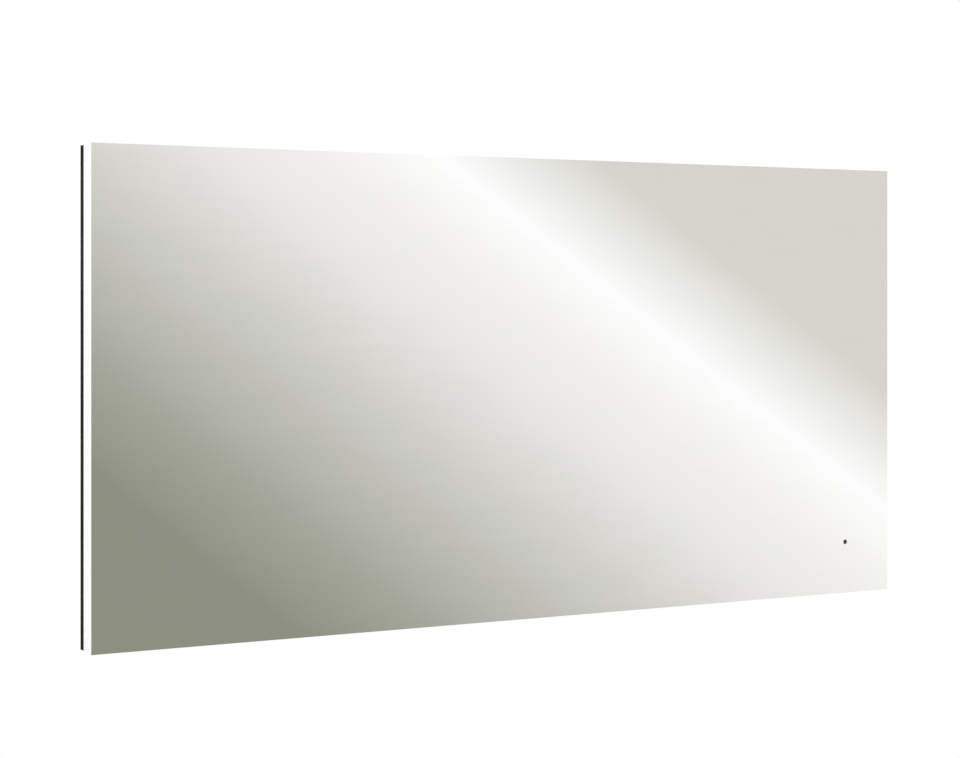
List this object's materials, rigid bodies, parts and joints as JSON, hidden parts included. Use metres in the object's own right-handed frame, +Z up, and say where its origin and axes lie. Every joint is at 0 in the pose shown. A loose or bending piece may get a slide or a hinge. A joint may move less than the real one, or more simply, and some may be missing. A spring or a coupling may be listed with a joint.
{
  "type": "lighted bathroom mirror",
  "caption": "Frameless wall mirror with a lit opal rim, a shallow black rear frame, a touchless switch window and a rail that it hooks over.",
  "frame": {"origin": "on the wall plane, midway along the line of the wall rail's screw holes", "axes": "+X along the mirror to a viewer's right, +Y into the wall, +Z up; the mirror faces -Y"},
  "size_m": [1.2, 0.04, 0.6],
  "materials": {
    "mirror": "silvered float glass with a polished edge",
    "film": "grey backing film",
    "foam_tape": "closed-cell foam tape",
    "black_frame": "black powder coat",
    "opal": "satin opal, lit from inside",
    "strip": "white strip",
    "led": "yellow phosphor",
    "white_plastic": "plain",
    "zinc_steel": "galvanised",
    "screw_steel": "zinc plated",
    "bar_aluminium": "mill finish",
    "cast_zinc": "die cast",
    "black_rubber": "soft",
    "box_plastic": "fine-textured",
    "board_green": "solder mask",
    "terminal_plastic": "moulded",
    "ferrite": "ferrite",
    "copper": "enamelled wire",
    "black_gloss": "moulded",
    "lead_sheath": "flexible sheath",
    "sensor_plastic": "moulded",
    "smoked_lens": "dark, clear to infrared"
  },
  "bodies": {
    "wall_rail": {"wall_rail": "zinc_steel"},
    "mirror": {"bonding_tape": "foam_tape", "bumpers": "black_rubber", "capacitors": "black_gloss", "control_box_screws": "screw_steel", "control_gasket": "black_rubber", "control_lid": "box_plastic", "control_lid_screws": "screw_steel", "control_tray": "box_plastic", "corner_keys": "cast_zinc", "corner_set_screws": "screw_steel", "crossbar_left": "bar_aluminium", "crossbar_right": "bar_aluminium", "crossbar_screws": "screw_steel", "diffuser_bottom": "opal", "diffuser_left": "opal", "diffuser_right": "opal", "diffuser_top": "opal", "driver_board": "board_green", "driver_board_screws": "screw_steel", "filter_choke": "ferrite", "frame_bottom": "black_frame", "frame_left": "black_frame", "frame_right": "black_frame", "frame_top": "black_frame", "fuse": "black_gloss", "gland_body": "box_plastic", "gland_cap": "box_plastic", "gland_lock_nut": "box_plastic", "gland_seal": "black_rubber", "hanger_rail": "zinc_steel", "hanger_screws": "screw_steel", "heat_sink": "bar_aluminium", "lead_clips": "white_plastic", "lead_grommets": "black_rubber", "led_feed_connector": "white_plastic", "led_lead": "lead_sheath", "led_links": "strip", "led_strip_bottom": "strip", "led_strip_left": "strip", "led_strip_right": "strip", "led_strip_top": "strip", "leds_bottom": "led", "leds_left": "led", "leds_right": "led", "leds_top": "led", "low_voltage_terminal": "terminal_plastic", "mains_terminal": "terminal_plastic", "mains_terminal_screws": "screw_steel", "mirror_glass": "mirror", "power_transistor": "black_gloss", "safety_film": "film", "sensor_board": "board_green", "sensor_case": "sensor_plastic", "sensor_cover": "sensor_plastic", "sensor_eyes": "black_gloss", "sensor_lead": "lead_sheath", "sensor_lens": "smoked_lens", "transformer_core": "ferrite", "transformer_winding": "copper"}
  },
  "joints": [
    {"name": "lift_off", "type": "slide", "parent": "wall_rail", "child": "mirror", "axis": [0, 0, 1], "range_m": [0, 0.014]}
  ]
}
